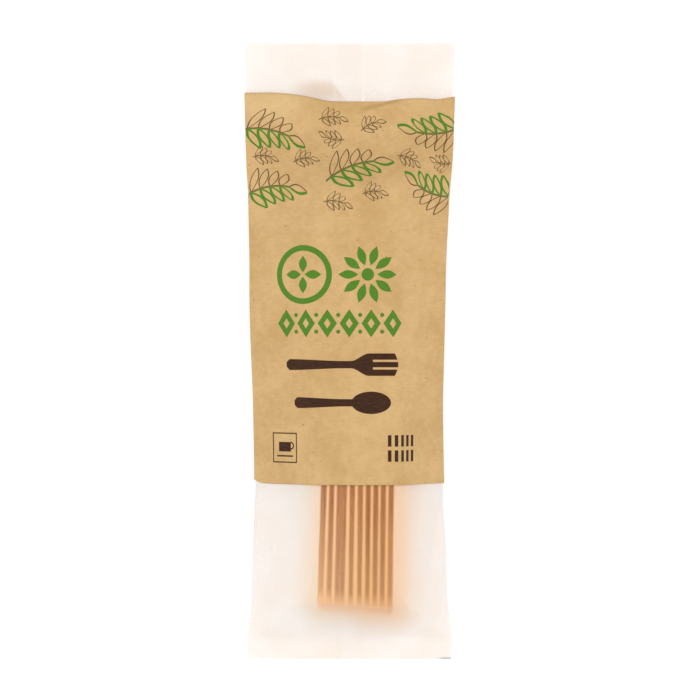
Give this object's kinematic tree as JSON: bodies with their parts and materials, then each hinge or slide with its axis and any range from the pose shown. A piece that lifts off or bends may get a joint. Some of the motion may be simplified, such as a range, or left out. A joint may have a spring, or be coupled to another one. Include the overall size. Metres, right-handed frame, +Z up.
{
  "type": "wooden cutlery pack",
  "caption": "Sealed pack of disposable wooden forks, nested on edge in a hazy film bag with a printed kraft paper band wrapped round its middle.",
  "frame": {"origin": "under the middle of the pack's bounding box, on the surface that it lies on", "axes": "+Y along the pack towards the fork heads, +X across it, +Z up out of the printed face"},
  "size_m": [0.082, 0.24, 0.0232],
  "materials": {
    "film": "hazy, almost clear film",
    "kraft_paper": "matte, printed in green and brown",
    "birch_wood": "smooth, unvarnished"
  },
  "bodies": {
    "root": {"film_bag": "film", "kraft_band": "kraft_paper", "fork_01": "birch_wood", "fork_02": "birch_wood", "fork_03": "birch_wood", "fork_04": "birch_wood", "fork_05": "birch_wood", "fork_06": "birch_wood", "fork_07": "birch_wood", "fork_08": "birch_wood", "fork_09": "birch_wood", "fork_10": "birch_wood"}
  },
  "joints": []
}
